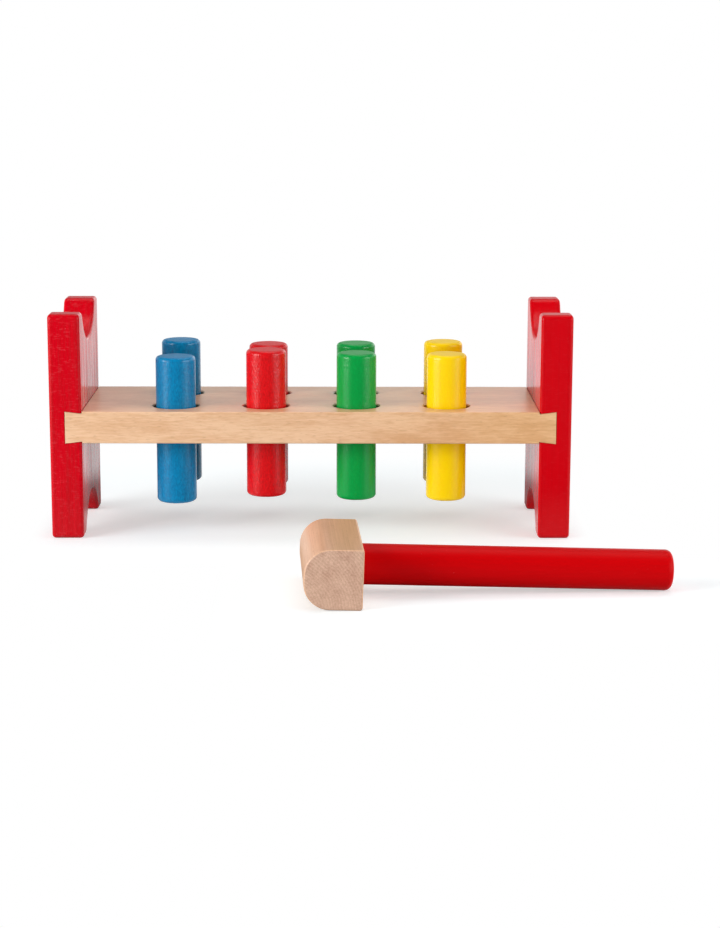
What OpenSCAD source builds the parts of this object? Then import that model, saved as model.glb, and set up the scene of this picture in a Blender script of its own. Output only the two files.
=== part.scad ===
// Peg pounding bench: a board with eight sliding pegs between two end panels, and a loose mallet.
// The bench is the same either way up, so it is turned over when the pegs are down.
// Lengths in millimetres, +Z up, the floor at zero.

/* [Bench] */
// Length over the two end panels
bench_len = 285; // [260:1:340]
// Depth of the board and the end panels, front to back
bench_depth = 89; // [76:1:120]
// Height of the end panels
panel_height = 124; // [104:1:160]
// Thickness of an end panel
panel_thick = 17.5; // [13:0.5:22]
// Thickness of the board
board_thick = 17.5; // [12:0.5:24]

/* [End panel outline] */
// Depth of the scoop in the top edge and of the arch between the feet
scoop_depth = 18; // [8:0.5:24]
// Width of the flat on a post and under a foot
post_flat = 9; // [1:0.5:12]
// Rounding where the scoop runs out into a post
post_round = 5; // [3:0.5:7]
// Rounding of the outline's outer corners
panel_corner = 2.5; // [2:0.1:4]
// Rounding of the edges round both faces
panel_ease = 2; // [0.5:0.1:2.4]

/* [Dovetail joints] */
// Depth of the board's tail in the end panel
tail_depth = 9; // [6:0.5:11]
// Step from the board's face down to the neck of the tail
tail_shoulder = 1.1; // [0.5:0.1:2]
// Glue gap round the tail and at the shoulder
joint_gap = 0.25; // [0.05:0.05:0.4]

/* [Board] */
// Rounding of the board's long edges
board_ease = 0.8; // [0.3:0.1:2]
// Diameter of a peg hole
hole_dia = 25.4; // [24:0.2:30]
// Chamfer at both mouths of a hole
hole_ease = 0.6; // [0.2:0.1:1.5]

/* [Pegs] */
// Diameter of a peg
peg_dia = 22; // [18:0.5:23]
// Length of a peg
peg_len = 81.5; // [60:0.5:100]
// Rounding of a peg's ends
peg_round = 2.2; // [0.5:0.1:5]

/* [Grip rings] */
// Width of a ring along its hole
ring_width = 4; // [2.5:0.5:6]
// Depth of a ring's groove in the wall of the hole
groove_depth = 2.2; // [1.5:0.1:4]
// Gap round a ring in its groove
groove_gap = 0.1; // [0.05:0.05:0.2]
// Running gap between a ring's lip and its peg
ring_gap = 0.05; // [0.02:0.01:0.1]

/* [Mallet head] */
// Length of the head from one striking face to the other
head_len = 70; // [50:1:110]
// Width of the head along the handle
head_width = 29; // [26:1:44]
// Height of the head as it lies
head_height = 30; // [27:1:44]
// Rounding of the two edges away from the handle
head_round = 13; // [6:0.5:13]
// Rounding of the two edges beside the handle
head_corner = 1.5; // [1:0.1:3]
// Rounding of the edges round both striking faces
head_ease = 1; // [0.4:0.1:1.5]

/* [Mallet handle] */
// Diameter of the handle
handle_dia = 20.5; // [16:0.5:24]
// Length of the handle outside the head
handle_reach = 156; // [110:1:200]
// Depth of the handle's bore in the head
handle_seat = 20; // [12:1:24]
// Rounding of the handle's ends
handle_round = 3.5; // [2:0.1:6]
// Glue gap round the handle and at the bottom of its bore
bore_gap = 0.05; // [0.02:0.01:0.1]

/* [Where the mallet lies] */
// From the bench's middle to the handle side of the head
mallet_right = 27; // [-60:0.5:80]
// From the bench's front to the front of the head
mallet_front = 153.5; // [100:0.5:240]
// Turn of the mallet on the floor, in degrees
mallet_turn = 2.5; // [-10:0.1:10]

/* [Hidden] */
$fn = 96;
overrun = 1;
columns = 4;

// How far the middle of each peg sits below the board's middle, as a share of the peg's length
front_drop_shares = [0.052, 0.007, 0.028, 0.034];
back_drop_shares = [0.014, 0.041, 0.036, 0.025];

inner_len = bench_len - 2 * panel_thick;
column_pitch = inner_len / (columns + 1);
row_offset = bench_depth / 4;
board_mid = panel_height / 2;
hole_r = hole_dia / 2;
groove_r = hole_r + groove_depth;
groove_width = ring_width + 2 * groove_gap;

// A scoop is an arc that runs out into the roundings of its two posts. It takes its radius from its
// depth and from how far its middle lies from the middle of a rounding.
post_mid = [bench_depth / 2 - panel_corner - post_flat, panel_height / 2 - post_round];
run_out = (post_mid.x * post_mid.x + scoop_depth * scoop_depth) / (2 * scoop_depth);
scoop_radius = run_out - post_round;
scoop_mid = [0, panel_height / 2 - scoop_depth + scoop_radius];

// The mallet tips until the end of the handle meets the floor.
tip_arm = [
    handle_reach - handle_round + head_corner,
    (head_height - handle_dia) / 2 + handle_round - head_corner
];
mallet_tip = atan2(tip_arm.y, tip_arm.x) - asin((handle_round - head_corner) / norm(tip_arm));

// The origin is on the floor, under the middle of the box round the bench and the mallet.
mallet_y = -bench_depth / 2 - mallet_front;
handle_end_x = mallet_right + handle_reach * cos(mallet_turn) - head_len / 2 * sin(mallet_turn);
set_left = min(-bench_len / 2, mallet_right - head_width);
set_right = max(bench_len / 2, handle_end_x);
set_front = mallet_y - head_width * sin(mallet_turn);
set_mid = [(set_left + set_right) / 2, (set_front + bench_depth / 2) / 2, 0];

natural_wood = [0.86, 0.68, 0.50];
red_paint = [0.78, 0.03, 0.09];
blue_paint = [0.00, 0.42, 0.66];
green_paint = [0.00, 0.56, 0.24];
yellow_paint = [1.00, 0.82, 0.00];
ring_rubber = [0.12, 0.12, 0.12];

module in_set() translate(-set_mid) children();

// What is cut from a square corner at the origin to round it.
module corner_waste(round) difference() {
    translate([-overrun, -overrun]) square([round + overrun, round + overrun]);
    translate([round, round]) circle(r = round);
}

// Section of a slab's rim, from x = 0 to the outer side, which has both its corners rounded.
module rim_section(width, thick, ease) difference() {
    square([width, thick]);
    translate([width, 0]) mirror([1, 0]) corner_waste(ease);
    translate([width, thick]) rotate(180) corner_waste(ease);
}

// The same section turned round, with its outer side on x = 0.
module inner_section(width, thick, ease)
    translate([width, 0]) mirror([1, 0]) rim_section(width, thick, ease);

// Rim of a slab along +X, with the slab below it on the -Y side.
module straight_rim(run, width, thick, ease)
    translate([0, -width, 0]) rotate([90, 0, 90]) linear_extrude(run) rim_section(width, thick, ease);

// Rim round an outer corner, from the direction start through sweep degrees.
module corner_rim(round, start, sweep, thick, ease)
    rotate(start) rotate_extrude(angle = sweep) rim_section(round, thick, ease);

module four_corners() for (x = [0, 1], y = [0, 1]) mirror([x, 0, 0]) mirror([0, y, 0]) children();

// A dowel with rounded ends, standing on the origin.
module dowel(dia, length, round) rotate_extrude() rim_section(dia / 2, length, round);

// One end panel flat on the XY plane: depth along X, height along Y, thickness along Z. The rims of a
// scoop and of a post's rounding meet on the line through their middles, and are both cut there.
module panel_slab() {
    core_inset = (post_round + panel_ease) / 2;
    half = [bench_depth / 2, panel_height / 2];
    past_post = 2 * (post_mid - scoop_mid);
    linear_extrude(panel_thick) difference() {
        square(2 * (half - [core_inset, core_inset]), center = true);
        for (y = [0, 1]) mirror([0, y]) translate(scoop_mid) circle(r = scoop_radius + core_inset);
    }
    four_corners() {
        translate([post_mid.x, half.y])
            straight_rim(post_flat, post_round, panel_thick, panel_ease);
        translate([half.x - panel_corner, half.y - panel_corner])
            corner_rim(panel_corner, 0, 90, panel_thick, panel_ease);
        intersection() {
            translate(post_mid) dowel(2 * post_round, panel_thick, panel_ease);
            linear_extrude(panel_thick) polygon([post_mid, scoop_mid, [post_mid.x, scoop_mid.y]]);
        }
    }
    for (y = [0, 1]) mirror([0, y, 0]) intersection() {
        translate(scoop_mid) rotate_extrude()
            translate([scoop_radius, 0]) inner_section(post_round, panel_thick, panel_ease);
        linear_extrude(panel_thick) polygon([
            scoop_mid, scoop_mid + past_post,
            scoop_mid - [0, 2 * run_out], scoop_mid + [-past_post.x, past_post.y]
        ]);
    }
    for (x = [0, 1]) mirror([x, 0, 0])
        translate([half.x, half.y - panel_corner]) rotate(-90)
            straight_rim(2 * (half.y - panel_corner), post_round, panel_thick, panel_ease);
}

// Side view of a dovetail on the board's right end, from the shoulder outwards, enlarged by a gap.
module tail_outline(back, gap) {
    neck = board_thick / 2 - tail_shoulder + gap;
    end = board_thick / 2 + gap;
    polygon([
        [-back, -neck], [0, -neck], [tail_depth + gap, -end],
        [tail_depth + gap, end], [0, neck], [-back, neck]
    ]);
}

module along_depth(depth) rotate([90, 0, 0]) linear_extrude(depth, center = true) children();

module right_panel_solid() difference() {
    translate([inner_len / 2, 0, board_mid]) rotate([90, 0, 90]) panel_slab();
    translate([inner_len / 2, 0, board_mid])
        along_depth(bench_depth + 2 * overrun) tail_outline(overrun, joint_gap);
}

module board_section() difference() {
    square([bench_depth, board_thick], center = true);
    four_corners() translate([-bench_depth, -board_thick] / 2) corner_waste(board_ease);
}

// A peg hole with its chamfers and the groove for its ring, turned about its own axis.
module hole_cut() {
    half = board_thick / 2;
    mouth_r = hole_r + hole_ease + overrun;
    rotate_extrude() polygon([
        [0, -half - overrun], [mouth_r, -half - overrun], [hole_r, -half + hole_ease],
        [hole_r, -groove_width / 2], [groove_r, -groove_width / 2],
        [groove_r, groove_width / 2], [hole_r, groove_width / 2],
        [hole_r, half - hole_ease], [mouth_r, half + overrun], [0, half + overrun]
    ]);
}

// Row -1 is the front row and row 1 the back row; columns count from the left.
module at_hole(column, row)
    translate([(column - (columns - 1) / 2) * column_pitch, row * row_offset, board_mid]) children();

module peg(column, row) {
    drop_shares = row < 0 ? front_drop_shares : back_drop_shares;
    in_set() at_hole(column, row)
        translate([0, 0, -peg_len * (1 / 2 + drop_shares[column])]) dowel(peg_dia, peg_len, peg_round);
}

// A ring has a square back in the groove and a round lip towards the peg.
module grip_ring(column, row) {
    lip_r = peg_dia / 2 + ring_gap;
    color(ring_rubber) in_set() at_hole(column, row) rotate_extrude()
        translate([lip_r, -ring_width / 2])
            inner_section(groove_r - groove_gap - lip_r, ring_width, ring_width / 2);
}

// The mallet's own frame: handle along +X, head back along +Y, the head's front foot at the origin.
module lay_mallet()
    in_set() translate([mallet_right, mallet_y, 0]) rotate(mallet_turn)
        translate([-head_corner, 0, head_corner]) rotate([0, mallet_tip, 0])
            translate([head_corner, 0, -head_corner]) children();

// The head flat on the XY plane: width along X, height along Y, length along Z, handle on the right.
module head_slab() {
    half = [head_width, head_height] / 2;
    inset = head_round / 2;
    translate(-half + [inset, inset]) linear_extrude(head_len)
        square([head_width - 2 * inset, head_height - 2 * inset]);
    for (y = [0, 1]) mirror([0, y, 0]) {
        translate([-half.x + head_round, half.y - head_round])
            corner_rim(head_round, 90, 90, head_len, head_ease);
        translate([half.x - head_corner, half.y - head_corner])
            corner_rim(head_corner, 0, 90, head_len, head_ease);
        translate([-half.x + head_round, half.y])
            straight_rim(head_width - head_round - head_corner, head_round, head_len, head_ease);
    }
    translate([half.x, half.y - head_corner]) rotate(-90)
        straight_rim(head_height - 2 * head_corner, head_round, head_len, head_ease);
    translate([-half.x, -half.y + head_round]) rotate(90)
        straight_rim(head_height - 2 * head_round, head_round, head_len, head_ease);
}

module on_handle_axis() translate([0, head_len / 2, head_height / 2]) rotate([0, 90, 0]) children();

module bench_board() color(natural_wood) in_set() difference() {
    union() {
        translate([-inner_len / 2 + joint_gap, 0, board_mid]) rotate([90, 0, 90])
            linear_extrude(inner_len - 2 * joint_gap) board_section();
        for (x = [0, 1]) mirror([x, 0, 0]) translate([inner_len / 2, 0, board_mid])
            along_depth(bench_depth) tail_outline(overrun, 0);
    }
    for (column = [0 : columns - 1], row = [-1, 1]) at_hole(column, row) hole_cut();
}

module left_end_panel() color(red_paint) in_set() mirror([1, 0, 0]) right_panel_solid();
module right_end_panel() color(red_paint) in_set() right_panel_solid();

module blue_peg_front() color(blue_paint) peg(0, -1);
module red_peg_front() color(red_paint) peg(1, -1);
module green_peg_front() color(green_paint) peg(2, -1);
module yellow_peg_front() color(yellow_paint) peg(3, -1);
module blue_peg_back() color(blue_paint) peg(0, 1);
module red_peg_back() color(red_paint) peg(1, 1);
module green_peg_back() color(green_paint) peg(2, 1);
module yellow_peg_back() color(yellow_paint) peg(3, 1);

module grip_ring_front_1() grip_ring(0, -1);
module grip_ring_front_2() grip_ring(1, -1);
module grip_ring_front_3() grip_ring(2, -1);
module grip_ring_front_4() grip_ring(3, -1);
module grip_ring_back_1() grip_ring(0, 1);
module grip_ring_back_2() grip_ring(1, 1);
module grip_ring_back_3() grip_ring(2, 1);
module grip_ring_back_4() grip_ring(3, 1);

module mallet_head() color(natural_wood) lay_mallet() difference() {
    translate([-head_width / 2, head_len, head_height / 2]) rotate([90, 0, 0]) head_slab();
    on_handle_axis() translate([0, 0, -handle_seat])
        cylinder(h = handle_seat + overrun, d = handle_dia + 2 * bore_gap);
}

module mallet_handle() color(red_paint) lay_mallet() on_handle_axis()
    translate([0, 0, -handle_seat + bore_gap])
        dowel(handle_dia, handle_seat - bore_gap + handle_reach, handle_round);

bench_board();
left_end_panel();
right_end_panel();
blue_peg_front();
red_peg_front();
green_peg_front();
yellow_peg_front();
blue_peg_back();
red_peg_back();
green_peg_back();
yellow_peg_back();
grip_ring_front_1();
grip_ring_front_2();
grip_ring_front_3();
grip_ring_front_4();
grip_ring_back_1();
grip_ring_back_2();
grip_ring_back_3();
grip_ring_back_4();
mallet_head();
mallet_handle();
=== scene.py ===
import math

import bpy
from mathutils import Matrix, Vector


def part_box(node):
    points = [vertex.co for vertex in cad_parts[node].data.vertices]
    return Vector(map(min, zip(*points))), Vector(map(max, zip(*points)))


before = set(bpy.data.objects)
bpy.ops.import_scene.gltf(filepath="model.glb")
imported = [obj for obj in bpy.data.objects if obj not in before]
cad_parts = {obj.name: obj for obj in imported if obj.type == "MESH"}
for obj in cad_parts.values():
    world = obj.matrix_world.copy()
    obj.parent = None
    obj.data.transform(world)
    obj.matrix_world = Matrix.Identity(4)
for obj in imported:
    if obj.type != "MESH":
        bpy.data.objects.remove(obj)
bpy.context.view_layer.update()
mm = 0.001


# sRGB hex to the linear colour that the sockets take
def linear(hexText):
    parts = [int(hexText[i:i + 2], 16) / 255 for i in (1, 3, 5)]
    return [c / 12.92 if c <= 0.04045 else ((c + 0.055) / 1.055) ** 2.4 for c in parts] + [1.0]


# adds one node: settings are the node's own, values fill sockets, links join them
def addNode(tree, kind, values=None, links=None, **settings):
    node = tree.nodes.new(kind)
    for name, value in settings.items():
        setattr(node, name, value)
    for socket, value in (values or {}).items():
        node.inputs[socket].default_value = value
    for socket, source in (links or {}).items():
        tree.links.new(source, node.inputs[socket])
    return node


def newMaterial(name):
    material = bpy.data.materials.new(name)
    material.use_nodes = True
    material.node_tree.nodes.clear()
    return material


def dress(nodeNames, material):
    for name in nodeNames:
        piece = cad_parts[name]
        piece.data.materials.clear()
        piece.data.materials.append(material)


# the bench stands left of and behind the origin, which is under the middle of bench and mallet
leftLow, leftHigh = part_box("left_end_panel")
rightLow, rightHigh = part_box("right_end_panel")
benchMid = Vector(((leftLow.x + rightHigh.x) / 2, (leftLow.y + leftHigh.y) / 2, 0))
colours = ("blue", "red", "green", "yellow")
print("frame loaded, bench middle at", [round(v, 4) for v in benchMid])


camera = {
    "fromBenchMm": (15.7, -1203.5, 270.1),
    "pitchDeg": 11.132,  # down
    "yawDeg": 0.554,  # to the right
    "rollDeg": 0.161,
    "lensMm": 83.7,
    "sensorMm": 36.0,
    "clipM": (0.05, 30.0),
}


def makeCamera(look):
    data = bpy.data.cameras.new("photoCamera")
    data.lens = look["lensMm"]
    data.sensor_width = look["sensorMm"]
    data.clip_start, data.clip_end = look["clipM"]
    eye = bpy.data.objects.new("photoCamera", data)
    bpy.context.scene.collection.objects.link(eye)
    pitch, yaw, roll = (math.radians(look[k]) for k in ("pitchDeg", "yawDeg", "rollDeg"))
    forward = Vector((math.sin(yaw) * math.cos(pitch), math.cos(yaw) * math.cos(pitch), -math.sin(pitch)))
    right = Vector((math.cos(yaw), -math.sin(yaw), 0))
    up = right.cross(forward)
    turnedRight = math.cos(roll) * right + math.sin(roll) * up
    turnedUp = math.cos(roll) * up - math.sin(roll) * right
    turn = Matrix((turnedRight, turnedUp, -forward)).transposed()
    eye.matrix_world = Matrix.Translation(benchMid + Vector(look["fromBenchMm"]) * mm) @ turn.to_4x4()
    bpy.context.scene.camera = eye


makeCamera(camera)
print("camera placed")


# studio table: a white sheet that takes the shadows of bench and mallet, and is plain white elsewhere
sheet = {
    "hex": "#d0d7d9",
    "glow": 0.48,  # what the sheet shows beside the lamps' light, so that it reads white
    "halfM": 8.0,
    # where shadows show: middle from the bench's middle, half size, and the run-out to plain white
    "patchesMm": {
        "bench": {"middle": (0, 50), "half": (138, 90), "runOut": (18, 70)},
        "mallet": {"middle": (98, -172), "half": (105, 34), "runOut": (40, 50)},
    },
    # how bright the gloss sees the sheet, from before the camera (0) over the sides (0.5) to behind the
    # bench (1): black flags there keep the paint deep and its outer edges dark
    "flags": ((0.06, 0.04), (0.25, 1.0), (0.55, 1.0), (0.66, 0.3), (0.84, 0.3), (0.92, 1.0)),
}


def makeSheet(look):
    half = look["halfM"]
    mesh = bpy.data.meshes.new("whiteSheet")
    corners = [(-half, -half, 0), (half, -half, 0), (half, half, 0), (-half, half, 0)]
    mesh.from_pydata(corners, [], [range(len(corners))])
    floor = bpy.data.objects.new("whiteSheet", mesh)
    bpy.context.scene.collection.objects.link(floor)
    material = newMaterial("whiteAcrylicSheet")
    tree = material.node_tree
    rays = addNode(tree, "ShaderNodeLightPath")
    mirrored = addNode(tree, "ShaderNodeMath", operation="MAXIMUM",
                       links={0: rays.outputs["Is Glossy Ray"], 1: rays.outputs["Is Transmission Ray"]})
    seen = addNode(tree, "ShaderNodeMath", operation="MAXIMUM",
                   links={0: rays.outputs["Is Camera Ray"], 1: mirrored.outputs[0]})
    place = addNode(tree, "ShaderNodeTexCoord")
    plain = None
    for patch in look["patchesMm"].values():
        middle = benchMid + Vector((*patch["middle"], 0)) * mm
        offset = addNode(tree, "ShaderNodeVectorMath", operation="SUBTRACT", values={1: middle},
                         links={0: place.outputs["Object"]})
        away = addNode(tree, "ShaderNodeVectorMath", operation="ABSOLUTE", links={0: offset.outputs[0]})
        axes = addNode(tree, "ShaderNodeSeparateXYZ", links={0: away.outputs[0]})
        past = [addNode(tree, "ShaderNodeMapRange", interpolation_type="SMOOTHSTEP",
                        values={"From Min": patch["half"][i] * mm,
                                "From Max": (patch["half"][i] + patch["runOut"][i]) * mm},
                        links={"Value": axes.outputs[i]}) for i in (0, 1)]
        outside = addNode(tree, "ShaderNodeMath", operation="MAXIMUM",
                          links={0: past[0].outputs[0], 1: past[1].outputs[0]})
        if plain:
            outside = addNode(tree, "ShaderNodeMath", operation="MINIMUM",
                              links={0: plain.outputs[0], 1: outside.outputs[0]})
        plain = outside
    plainSeen = addNode(tree, "ShaderNodeMath", operation="MULTIPLY",
                        links={0: plain.outputs[0], 1: seen.outputs[0]})
    glowSeen = addNode(tree, "ShaderNodeMath", operation="MULTIPLY",
                       values={1: look["glow"]}, links={0: seen.outputs[0]})
    lit = addNode(tree, "ShaderNodeBsdfDiffuse", values={"Color": linear(look["hex"])})
    glow = addNode(tree, "ShaderNodeEmission", links={"Strength": glowSeen.outputs[0]})
    near = addNode(tree, "ShaderNodeAddShader", links={0: lit.outputs[0], 1: glow.outputs[0]})
    white = addNode(tree, "ShaderNodeEmission", values={"Strength": 1.0})
    both = addNode(tree, "ShaderNodeMixShader",
                   links={0: plainSeen.outputs[0], 1: near.outputs[0], 2: white.outputs[0]})
    fromBench = addNode(tree, "ShaderNodeVectorMath", operation="SUBTRACT", values={1: benchMid},
                        links={0: place.outputs["Object"]})
    direction = addNode(tree, "ShaderNodeVectorMath", operation="NORMALIZE", links={0: fromBench.outputs[0]})
    directionAxes = addNode(tree, "ShaderNodeSeparateXYZ", links={0: direction.outputs[0]})
    # from -1 to 1 onto the ramp's 0 to 1
    around = addNode(tree, "ShaderNodeMath", operation="MULTIPLY_ADD", values={1: 0.5, 2: 0.5},
                     links={0: directionAxes.outputs["Y"]})
    flags = addNode(tree, "ShaderNodeValToRGB", links={0: around.outputs[0]})
    while len(flags.color_ramp.elements) < len(look["flags"]):
        flags.color_ramp.elements.new(1.0)
    for element, (position, bright) in zip(flags.color_ramp.elements, look["flags"]):
        element.position = position
        element.color = (bright, bright, bright, 1)
    flagged = addNode(tree, "ShaderNodeMath", operation="SUBTRACT", use_clamp=True, values={0: 1.0},
                      links={1: flags.outputs[0]})
    flagSeen = addNode(tree, "ShaderNodeMath", operation="MULTIPLY",
                       links={0: flagged.outputs[0], 1: mirrored.outputs[0]})
    black = addNode(tree, "ShaderNodeEmission", values={"Strength": 0.0})
    shown = addNode(tree, "ShaderNodeMixShader",
                    links={0: flagSeen.outputs[0], 1: both.outputs[0], 2: black.outputs[0]})
    addNode(tree, "ShaderNodeOutputMaterial", links={"Surface": shown.outputs[0]})
    mesh.materials.append(material)


makeSheet(sheet)

# soft boxes round the bench; azimuth 0 is the camera's side, + to its right
softBoxes = {
    "keyBox": {"azimuthDeg": -60, "heightDeg": 11, "awayM": 1.5, "wideM": 0.9, "tallM": 1.1,
               "radiance": 8.7},
    "rightBox": {"azimuthDeg": 66, "heightDeg": 10, "awayM": 1.5, "wideM": 0.9, "tallM": 1.1,
                 "radiance": 5.6},
    "topBox": {"azimuthDeg": 150, "heightDeg": 75, "awayM": 1.6, "wideM": 1.4, "tallM": 1.0,
               "radiance": 2.1},
}


def makeSoftBox(name, look):
    data = bpy.data.lights.new(name, "AREA")
    data.shape = "RECTANGLE"
    data.size = look["wideM"]
    data.size_y = look["tallM"]
    data.energy = look["radiance"] * math.pi * look["wideM"] * look["tallM"]
    lamp = bpy.data.objects.new(name, data)
    bpy.context.scene.collection.objects.link(lamp)
    azimuth, height = math.radians(look["azimuthDeg"]), math.radians(look["heightDeg"])
    level = Vector((math.sin(azimuth), -math.cos(azimuth), 0))
    out = level * math.cos(height) + Vector((0, 0, math.sin(height)))
    target = benchMid + Vector((0, 0, rightHigh.z / 2))
    turn = out.to_track_quat("Z", "Y").to_matrix().to_4x4()
    lamp.matrix_world = Matrix.Translation(target + out * look["awayM"]) @ turn


for boxName, boxLook in softBoxes.items():
    makeSoftBox(boxName, boxLook)

# the room: pale walls low down, a dim ceiling, and in the gloss a dark camera side and a white backdrop,
# brighter to the right
room = {
    "wallFill": 0.40,
    "ceilingFill": 0.16,
    "ceilingFrom": 0.1,
    "ceilingTo": 0.7,
    "cameraSide": 0.05,
    "backdropLeft": 0.65,
    "backdropRight": 1.6,
    "backdropBand": (0.3, 0.65),  # of the direction upwards, where the backdrop ends
    "backFrom": -0.15,
    "backTo": 0.35,
    "acrossHalf": 0.3,
}


def makeRoom(look):
    world = bpy.data.worlds.new("studioRoom")
    world.use_nodes = True
    tree = world.node_tree
    tree.nodes.clear()
    rays = addNode(tree, "ShaderNodeLightPath")
    toward = addNode(tree, "ShaderNodeTexCoord")
    axes = addNode(tree, "ShaderNodeSeparateXYZ", links={0: toward.outputs["Generated"]})
    fill = addNode(tree, "ShaderNodeMapRange", interpolation_type="SMOOTHSTEP",
                   values={"From Min": look["ceilingFrom"], "From Max": look["ceilingTo"],
                           "To Min": look["wallFill"], "To Max": look["ceilingFill"]},
                   links={"Value": axes.outputs["Z"]})
    backdrop = addNode(tree, "ShaderNodeMapRange", interpolation_type="SMOOTHSTEP",
                       values={"From Min": -look["acrossHalf"], "From Max": look["acrossHalf"],
                               "To Min": look["backdropLeft"], "To Max": look["backdropRight"]},
                       links={"Value": axes.outputs["X"]})
    lowBackdrop = addNode(tree, "ShaderNodeMapRange", interpolation_type="SMOOTHSTEP",
                          values={"From Min": look["backdropBand"][0], "From Max": look["backdropBand"][1],
                                  "To Max": look["ceilingFill"]},
                          links={"Value": axes.outputs["Z"], "To Min": backdrop.outputs[0]})
    mirrored = addNode(tree, "ShaderNodeMapRange", interpolation_type="SMOOTHSTEP",
                       values={"From Min": look["backFrom"], "From Max": look["backTo"],
                               "To Min": look["cameraSide"]},
                       links={"Value": axes.outputs["Y"], "To Max": lowBackdrop.outputs[0]})
    mirrors = addNode(tree, "ShaderNodeMath", operation="MAXIMUM",
                      links={0: rays.outputs["Is Glossy Ray"], 1: rays.outputs["Is Transmission Ray"]})
    inRoom = addNode(tree, "ShaderNodeMix", data_type="FLOAT",
                     links={0: mirrors.outputs[0], 2: fill.outputs[0], 3: mirrored.outputs[0]})
    strength = addNode(tree, "ShaderNodeMix", data_type="FLOAT", values={3: 1.0},
                       links={0: rays.outputs["Is Camera Ray"], 2: inRoom.outputs[0]})
    light = addNode(tree, "ShaderNodeBackground", values={"Color": (1, 1, 1, 1)},
                    links={"Strength": strength.outputs[0]})
    addNode(tree, "ShaderNodeOutputWorld", links={"Surface": light.outputs[0]})
    bpy.context.scene.world = world


makeRoom(room)
bpy.context.scene.view_settings.view_transform = "Standard"
print("studio lit")


# Beech, planed and sanded, with a thin clear lacquer: pale pinkish tan that clouds and streaks along the
# grain, with short brown flecks, and with rings where the end grain shows. Sizes in pairs are along and
# across the grain; shares say how much each pattern moves the tone.
boardBeech = {
    "name": "beechSandedClearLacquer",
    "grainAxis": 0,
    "turnDeg": 0.0,
    "pithMm": (0, 160, -260),  # from the board's middle
    "ringMm": 3.4,
    "ringSqueeze": 0.03,  # how slowly the rings wander along the grain
    "ringWaver": 5.0,
    "ringWaverScale": 0.25,  # how fine the rings' wander is, against the rings
    "ringDetail": 3.0,
    "ringRoughness": 0.55,
    "ringShare": 0.16,
    "cloudMm": (42, 11),
    "cloudDetail": 2.0,
    "cloudShare": 2.0,
    "streakMm": (6, 0.8),
    "streakDetail": 3.0,
    "streakShare": 1.9,
    "fleckMm": (3.5, 0.7),  # drawn about twice the real width, so that they show
    "fleckDetail": 1.0,
    "fleckBand": (0.58, 0.74),
    "fleckShare": 0.30,
    "lightHex": "#eec49e",
    "darkHex": "#dba97f",
    "fleckHex": "#b98763",
    "endLightHex": "#d3a683",  # end grain drinks the lacquer and dries darker
    "endDarkHex": "#bd8e6b",
    "endBand": (0.5, 0.95),  # of the squared share of the face's direction along the grain
    "topShadeHex": "#fff4ea",  # painted shade: the faces that lie flat are tinted darker, for the weaker light on top
    "topShadeBand": (0.90, 0.985),
    "driftHex": "#fffcea",  # the plank turns from pinkish to honey towards its right end
    "driftMm": (0, 125),
    "roughness": 0.34,
    "ior": 1.5,
    "shine": 0.5,
    "bumpMm": 0.05,
}
# the head's end grain shows fine rings round a heart that lay below and to the left; its flat top takes a
# deeper painted shade
headBeech = dict(boardBeech, name="beechMilledClearLacquer", grainAxis=1, turnDeg=2.5, pithMm=(-26, 0, -18),
                 ringMm=1.4, ringWaverScale=0.5, ringShare=0.32, cloudMm=(60, 6), cloudShare=0.9,
                 streakMm=(24, 0.7), streakShare=1.2, lightHex="#eec2a2", darkHex="#d8a783",
                 endLightHex="#e9c2a8", endDarkHex="#bf9078", topShadeHex="#efe2d4", driftHex="#ffffff")
waveRing = 2 * math.pi / 20  # a wave texture of scale 1 has a ring this often


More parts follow.
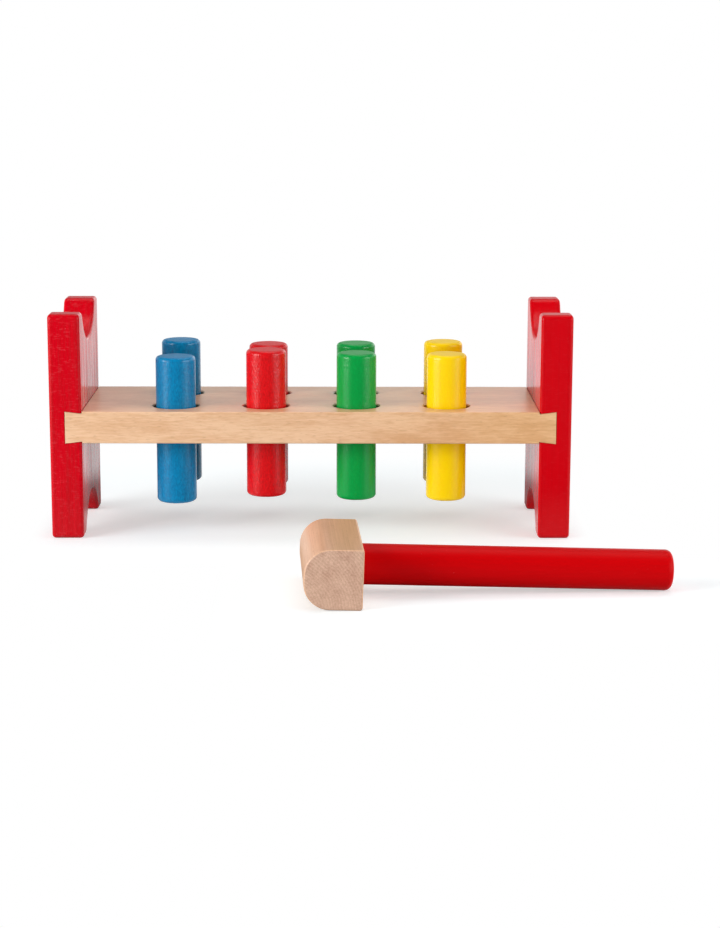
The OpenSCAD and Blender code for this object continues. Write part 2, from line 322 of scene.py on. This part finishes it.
def makeBeech(look, middle):
    material = newMaterial(look["name"])
    tree = material.node_tree
    axis = look["grainAxis"]
    place = addNode(tree, "ShaderNodeTexCoord")
    centred = addNode(tree, "ShaderNodeVectorMath", operation="SUBTRACT",
                      values={1: middle + Vector(look["pithMm"]) * mm}, links={0: place.outputs["Object"]})
    turned = addNode(tree, "ShaderNodeVectorRotate", rotation_type="Z_AXIS",
                     values={"Angle": math.radians(-look["turnDeg"])}, links={"Vector": centred.outputs[0]})
    squeeze = [1.0, 1.0, 1.0]
    squeeze[axis] = look["ringSqueeze"]
    ringPlace = addNode(tree, "ShaderNodeMapping", values={"Scale": squeeze},
                        links={"Vector": turned.outputs[0]})
    rings = addNode(tree, "ShaderNodeTexWave", wave_type="RINGS", wave_profile="SAW",
                    rings_direction="XYZ"[axis],
                    values={"Scale": waveRing / (look["ringMm"] * mm), "Distortion": look["ringWaver"],
                            "Detail": look["ringDetail"], "Detail Scale": look["ringWaverScale"],
                            "Detail Roughness": look["ringRoughness"]},
                    links={"Vector": ringPlace.outputs[0]})
    patterns = {}
    for pattern in ("cloud", "streak", "fleck"):
        along, across = look[pattern + "Mm"]
        scale = [1 / (across * mm)] * 3
        scale[axis] = 1 / (along * mm)
        stretched = addNode(tree, "ShaderNodeMapping", values={"Scale": scale},
                            links={"Vector": turned.outputs[0]})
        patterns[pattern] = addNode(tree, "ShaderNodeTexNoise",
                                    values={"Scale": 1.0, "Detail": look[pattern + "Detail"]},
                                    links={"Vector": stretched.outputs[0]}).outputs[0]
    # each pattern swings about a half, and so does their sum
    shares = [look["ringShare"], look["cloudShare"], look["streakShare"]]
    tone = addNode(tree, "ShaderNodeMath", operation="MULTIPLY_ADD",
                   values={1: shares[0], 2: 0.5 - sum(shares) / 2}, links={0: rings.outputs[1]})
    tone = addNode(tree, "ShaderNodeMath", operation="MULTIPLY_ADD", values={1: shares[1]},
                   links={0: patterns["cloud"], 2: tone.outputs[0]})
    tone = addNode(tree, "ShaderNodeMath", operation="MULTIPLY_ADD", use_clamp=True, values={1: shares[2]},
                   links={0: patterns["streak"], 2: tone.outputs[0]})
    sideWood = addNode(tree, "ShaderNodeMix", data_type="RGBA",
                       values={6: linear(look["lightHex"]), 7: linear(look["darkHex"])},
                       links={0: tone.outputs[0]})
    flecks = addNode(tree, "ShaderNodeMapRange", interpolation_type="SMOOTHSTEP",
                     values={"From Min": look["fleckBand"][0], "From Max": look["fleckBand"][1],
                             "To Max": look["fleckShare"]},
                     links={"Value": patterns["fleck"]})
    flecked = addNode(tree, "ShaderNodeMix", data_type="RGBA", values={7: linear(look["fleckHex"])},
                      links={0: flecks.outputs[0], 6: sideWood.outputs[2]})
    endWood = addNode(tree, "ShaderNodeMix", data_type="RGBA",
                      values={6: linear(look["endLightHex"]), 7: linear(look["endDarkHex"])},
                      links={0: tone.outputs[0]})
    facing = addNode(tree, "ShaderNodeSeparateXYZ", links={0: place.outputs["Normal"]})
    square = addNode(tree, "ShaderNodeMath", operation="MULTIPLY",
                     links={0: facing.outputs[axis], 1: facing.outputs[axis]})
    endShare = addNode(tree, "ShaderNodeMapRange", interpolation_type="SMOOTHSTEP",
                       values={"From Min": look["endBand"][0], "From Max": look["endBand"][1]},
                       links={"Value": square.outputs[0]})
    wood = addNode(tree, "ShaderNodeMix", data_type="RGBA",
                   links={0: endShare.outputs[0], 6: flecked.outputs[2], 7: endWood.outputs[2]})
    # painted shade: faces that lie flat are tinted darker, for the weaker light that falls on top
    flat = addNode(tree, "ShaderNodeMapRange", interpolation_type="SMOOTHSTEP",
                   values={"From Min": look["topShadeBand"][0], "From Max": look["topShadeBand"][1]},
                   links={"Value": facing.outputs["Z"]})
    topShaded = addNode(tree, "ShaderNodeMix", data_type="RGBA", blend_type="MULTIPLY",
                     values={7: linear(look["topShadeHex"])}, links={0: flat.outputs[0], 6: wood.outputs[2]})
    lengthwise = addNode(tree, "ShaderNodeSeparateXYZ", links={0: turned.outputs[0]})
    drift = addNode(tree, "ShaderNodeMapRange", interpolation_type="SMOOTHSTEP",
                    values={"From Min": look["driftMm"][0] * mm, "From Max": look["driftMm"][1] * mm},
                    links={"Value": lengthwise.outputs[axis]})
    drifted = addNode(tree, "ShaderNodeMix", data_type="RGBA", blend_type="MULTIPLY",
                      values={7: linear(look["driftHex"])}, links={0: drift.outputs[0], 6: topShaded.outputs[2]})
    bump = addNode(tree, "ShaderNodeBump", values={"Distance": look["bumpMm"] * mm},
                   links={"Height": patterns["streak"]})
    surface = addNode(tree, "ShaderNodeBsdfPrincipled",
                      values={"Roughness": look["roughness"], "IOR": look["ior"],
                              "Specular IOR Level": look["shine"]},
                      links={"Base Color": drifted.outputs[2], "Normal": bump.outputs[0]})
    addNode(tree, "ShaderNodeOutputMaterial", links={"Surface": surface.outputs[0]})
    return material


boardLow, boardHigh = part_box("bench_board")
headLow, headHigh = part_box("mallet_head")
dress(["bench_board"], makeBeech(boardBeech, (boardLow + boardHigh) / 2))
dress(["mallet_head"], makeBeech(headBeech, (headLow + headHigh) / 2))
print("wood dressed")


# Gloss enamel on beech: a strong colour, slightly mottled, with the grain and the peel of the spray telling
# in the shine, and pale ticks and specks painted in as glints where pits in the coat catch light
panelEnamel = {
    "name": "redEnamelSprayedPanel", "hex": "#da001a", "deepHex": "#b4000c",
    "grainAxis": 2, "grainMm": (1.0, 7.0, 45),  # across, drawn coarser on the deep faces, and along
    "peelMm": (1.5, 1.5, 1.5), "peelShare": 0.4, "bumpMm": 0.14,
    # the pale ticks and specks are painted glints, light caught in pits of the coat
    "tickMm": (2.6, 2.6, 0.7), "tickBand": (0.52, 0.74), "tickShare": 0.10,
    "speckMm": (1.3, 1.3, 1.3), "speckBand": (0.70, 0.78), "speckShare": 0.25, "glintHex": "#f0808a",
    "roughness": 0.22, "roughSpread": 0.5, "endRoughness": 0.40, "endBand": (0.5, 0.95),
    "ior": 1.5, "shine": 0.16, "patternDetail": 2.0,
}
# the right panel came out of the spray with a closed, even coat
rightPanelEnamel = dict(panelEnamel, name="redEnamelSprayedEvenPanel", hex="#d40010", deepHex="#c6000c",
                        bumpMm=0.05, tickShare=0.025, speckShare=0.06, roughSpread=0.15)
handleEnamel = dict(panelEnamel, name="redEnamelDippedHandle", hex="#d20006", deepHex="#c60004", grainAxis=0,
                    grainMm=(40, 1.2, 1.2), bumpMm=0.03, tickShare=0.0, speckBand=(0.74, 0.80),
                    roughness=0.40, roughSpread=0.1, shine=0.06)
# tumbled in the paint, so without ticks; the blue and the red coats dried grainier
pegEnamel = dict(panelEnamel, grainMm=(0.9, 0.9, 1.8), peelMm=(1.2, 1.2, 1.2), peelShare=1.2, bumpMm=0.08,
                 tickShare=0.0, speckShare=0.0, roughness=0.25, roughSpread=0.1, endRoughness=0.50,
                 shine=0.32)
pegPaints = {
    "blue": {"name": "blueEnamelTumbledPeg", "hex": "#0096cc", "deepHex": "#005484", "bumpMm": 0.11},
    "red": {"name": "redEnamelTumbledPeg", "hex": "#f4101a", "deepHex": "#ac0408", "bumpMm": 0.12},
    "green": {"name": "greenEnamelTumbledPeg", "hex": "#00a446", "deepHex": "#00903c"},
    "yellow": {"name": "yellowEnamelTumbledPeg", "hex": "#ffdc00", "deepHex": "#ffce00"},
}


def makeEnamel(look):
    material = newMaterial(look["name"])
    tree = material.node_tree
    place = addNode(tree, "ShaderNodeTexCoord")
    patterns = {}
    for pattern in ("grain", "peel", "tick", "speck"):
        sized = addNode(tree, "ShaderNodeMapping",
                        values={"Scale": [1 / (size * mm) for size in look[pattern + "Mm"]]},
                        links={"Vector": place.outputs["Object"]})
        patterns[pattern] = addNode(tree, "ShaderNodeTexNoise",
                                    values={"Scale": 1.0, "Detail": look["patternDetail"]},
                                    links={"Vector": sized.outputs[0]}).outputs[0]
    height = addNode(tree, "ShaderNodeMath", operation="MULTIPLY_ADD", values={1: look["peelShare"]},
                     links={0: patterns["peel"], 2: patterns["grain"]})
    paint = addNode(tree, "ShaderNodeMix", data_type="RGBA",
                    values={6: linear(look["hex"]), 7: linear(look["deepHex"])}, links={0: patterns["grain"]})
    # ticks only on the edges, which face the front and the back
    facing = addNode(tree, "ShaderNodeSeparateXYZ", links={0: place.outputs["Normal"]})
    edgeOn = addNode(tree, "ShaderNodeMath", operation="ABSOLUTE", links={0: facing.outputs["Y"]})
    ticks = addNode(tree, "ShaderNodeMapRange", interpolation_type="SMOOTHSTEP",
                    values={"From Min": look["tickBand"][0], "From Max": look["tickBand"][1],
                            "To Max": look["tickShare"]},
                    links={"Value": patterns["tick"]})
    edgeTicks = addNode(tree, "ShaderNodeMath", operation="MULTIPLY",
                        links={0: ticks.outputs[0], 1: edgeOn.outputs[0]})
    specks = addNode(tree, "ShaderNodeMapRange", interpolation_type="SMOOTHSTEP",
                     values={"From Min": look["speckBand"][0], "From Max": look["speckBand"][1],
                             "To Max": look["speckShare"]},
                     links={"Value": patterns["speck"]})
    # painted glints: the pale ticks and specks stand in for light caught in pits of the coat
    paintedGlints = addNode(tree, "ShaderNodeMath", operation="MAXIMUM",
                     links={0: edgeTicks.outputs[0], 1: specks.outputs[0]})
    colour = addNode(tree, "ShaderNodeMix", data_type="RGBA", values={7: linear(look["glintHex"])},
                     links={0: paintedGlints.outputs[0], 6: paint.outputs[2]})
    bump = addNode(tree, "ShaderNodeBump", values={"Distance": look["bumpMm"] * mm},
                   links={"Height": height.outputs[0]})
    # end grain drinks the paint and stays duller
    square = addNode(tree, "ShaderNodeMath", operation="MULTIPLY",
                     links={0: facing.outputs[look["grainAxis"]], 1: facing.outputs[look["grainAxis"]]})
    grainRough = addNode(tree, "ShaderNodeMath", operation="MULTIPLY_ADD",
                         values={1: look["roughSpread"], 2: look["roughness"] - look["roughSpread"] / 2},
                         links={0: patterns["grain"]})
    duller = addNode(tree, "ShaderNodeMapRange", interpolation_type="SMOOTHSTEP",
                     values={"From Min": look["endBand"][0], "From Max": look["endBand"][1],
                             "To Max": look["endRoughness"]},
                     links={"Value": square.outputs[0], "To Min": grainRough.outputs[0]})
    surface = addNode(tree, "ShaderNodeBsdfPrincipled",
                      values={"IOR": look["ior"], "Specular IOR Level": look["shine"]},
                      links={"Base Color": colour.outputs[2], "Roughness": duller.outputs[0],
                             "Normal": bump.outputs[0]})
    addNode(tree, "ShaderNodeOutputMaterial", links={"Surface": surface.outputs[0]})
    return material


dress(["left_end_panel"], makeEnamel(panelEnamel))
dress(["right_end_panel"], makeEnamel(rightPanelEnamel))
dress(["mallet_handle"], makeEnamel(handleEnamel))
for colour in colours:
    dress([colour + "_peg_front", colour + "_peg_back"], makeEnamel({**pegEnamel, **pegPaints[colour]}))
print("paint dressed")


# Moulded nitrile rubber: matt black with a faint bloom
ringRubber = {"name": "nitrileRubberMoulded", "hex": "#1d1c1b", "bloomHex": "#2b2a29", "bloomMm": 1.2,
              "bloomDetail": 3.0, "roughness": 0.62, "ior": 1.52}


def makeRubber(look):
    material = newMaterial(look["name"])
    tree = material.node_tree
    place = addNode(tree, "ShaderNodeTexCoord")
    bloom = addNode(tree, "ShaderNodeTexNoise",
                    values={"Scale": 1 / (look["bloomMm"] * mm), "Detail": look["bloomDetail"]},
                    links={"Vector": place.outputs["Object"]})
    colour = addNode(tree, "ShaderNodeMix", data_type="RGBA",
                     values={6: linear(look["hex"]), 7: linear(look["bloomHex"])},
                     links={0: bloom.outputs[0]})
    surface = addNode(tree, "ShaderNodeBsdfPrincipled",
                      values={"Roughness": look["roughness"], "IOR": look["ior"]},
                      links={"Base Color": colour.outputs[2]})
    addNode(tree, "ShaderNodeOutputMaterial", links={"Surface": surface.outputs[0]})
    return material


dress(["grip_ring_%s_%d" % (row, column + 1) for row in ("front", "back") for column in range(len(colours))],
      makeRubber(ringRubber))
print("rings dressed")
